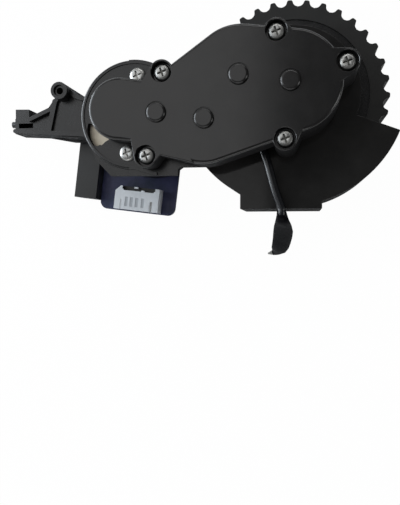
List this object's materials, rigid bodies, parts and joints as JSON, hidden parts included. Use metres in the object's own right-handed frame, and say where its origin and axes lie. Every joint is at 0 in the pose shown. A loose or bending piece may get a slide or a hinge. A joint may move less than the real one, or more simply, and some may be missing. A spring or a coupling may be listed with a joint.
{
  "type": "robot vacuum wheel module",
  "caption": "Drive wheel module with a lugged tyre, closed reduction gearbox, round motor, encoder board with a header, wheel guard and a short lead on a pivoting arm.",
  "frame": {"origin": "centre of the pivot bore of the swing arm at the outer end face, level with the outer face of the tyre", "axes": "+Z along the pivot bore and the wheel axle, from the outer face of the wheel to the gearbox cover; +X from the pivot to the wheel; +Y completes the right-handed frame"},
  "size_m": [0.1412, 0.0888, 0.0454],
  "materials": {
    "gearbox_base": "satin moulded black plastic",
    "gearbox_cover": "semi-gloss moulded black plastic",
    "cover_screws": "zinc plated",
    "gear_pins": "ground",
    "axle_bush": "sintered bronze",
    "cover_bush": "sintered bronze",
    "output_axle": "ground",
    "output_gear": "acetal, natural white",
    "axle_clip": "blued spring steel",
    "compound_gear_3": "acetal, natural white",
    "compound_gear_2": "acetal, natural white",
    "compound_gear_1": "acetal, natural white",
    "motor_can": "zinc plated sheet",
    "motor_magnets": "ferrite",
    "motor_bushes": "sintered bronze",
    "motor_screws": "zinc plated",
    "motor_end_bell": "off-white",
    "motor_terminals": "tinned",
    "motor_shaft": "ground",
    "motor_armature": "enamelled winding on a steel core",
    "motor_pinion": "cut",
    "encoder_magnet": "bonded ferrite",
    "end_cover": "satin moulded black plastic",
    "encoder_board": "navy solder mask",
    "board_screws": "zinc plated",
    "hall_sensor": "moulded package",
    "board_connector": "natural white nylon",
    "connector_pins": "tinned",
    "wheel_guard": "glossy moulded black plastic",
    "guard_screws": "zinc plated",
    "wheel_hub": "satin moulded black plastic",
    "tyre": "matt black rubber",
    "hub_washer": "zinc plated",
    "hub_screw": "zinc plated",
    "hub_cap": "satin moulded black plastic",
    "lead": "soft black jacket",
    "lead_sleeve": "shrunk black sleeve",
    "lead_tip": "tinned wire end"
  },
  "bodies": {
    "housing": {"gearbox_base": "gearbox_base", "gearbox_cover": "gearbox_cover", "cover_screws": "cover_screws", "gear_pins": "gear_pins", "axle_bush": "axle_bush", "cover_bush": "cover_bush", "motor_can": "motor_can", "motor_magnets": "motor_magnets", "motor_bushes": "motor_bushes", "motor_screws": "motor_screws", "motor_end_bell": "motor_end_bell", "motor_terminals": "motor_terminals", "end_cover": "end_cover", "encoder_board": "encoder_board", "board_screws": "board_screws", "hall_sensor": "hall_sensor", "board_connector": "board_connector", "connector_pins": "connector_pins", "wheel_guard": "wheel_guard", "guard_screws": "guard_screws", "lead": "lead", "lead_sleeve": "lead_sleeve", "lead_tip": "lead_tip"},
    "gear_1": {"compound_gear_1": "compound_gear_1"},
    "gear_2": {"compound_gear_2": "compound_gear_2"},
    "gear_3": {"compound_gear_3": "compound_gear_3"},
    "motor_rotor": {"motor_shaft": "motor_shaft", "motor_armature": "motor_armature", "motor_pinion": "motor_pinion", "encoder_magnet": "encoder_magnet"},
    "drive_wheel": {"output_axle": "output_axle", "output_gear": "output_gear", "axle_clip": "axle_clip", "wheel_hub": "wheel_hub", "tyre": "tyre", "hub_washer": "hub_washer", "hub_screw": "hub_screw", "hub_cap": "hub_cap"}
  },
  "joints": [
    {"name": "wheel_spin", "type": "hinge", "parent": "housing", "child": "drive_wheel", "pos_m": [0.0835, -0.0044, 0.02], "axis": [0, 0, 1], "continuous": true},
    {"name": "gear_3_spin", "type": "hinge", "parent": "housing", "child": "gear_3", "pos_m": [0.0673, -0.00183, 0.02], "axis": [0, 0, 1], "continuous": true},
    {"name": "gear_2_spin", "type": "hinge", "parent": "housing", "child": "gear_2", "pos_m": [0.05626, -0.01528, 0.02], "axis": [0, 0, 1], "continuous": true},
    {"name": "gear_1_spin", "type": "hinge", "parent": "housing", "child": "gear_1", "pos_m": [0.04069, -0.0129, 0.02], "axis": [0, 0, 1], "continuous": true},
    {"name": "motor_spin", "type": "hinge", "parent": "housing", "child": "motor_rotor", "pos_m": [0.03074, -0.01189, 0.02], "axis": [0, 0, 1], "continuous": true}
  ],
  "couplings": [
    {"joint": "gear_3_spin", "follows": "wheel_spin", "ratio": -2.4167},
    {"joint": "gear_2_spin", "follows": "wheel_spin", "ratio": 7.5952},
    {"joint": "gear_1_spin", "follows": "wheel_spin", "ratio": -22.311},
    {"joint": "motor_spin", "follows": "wheel_spin", "ratio": 52.059}
  ]
}
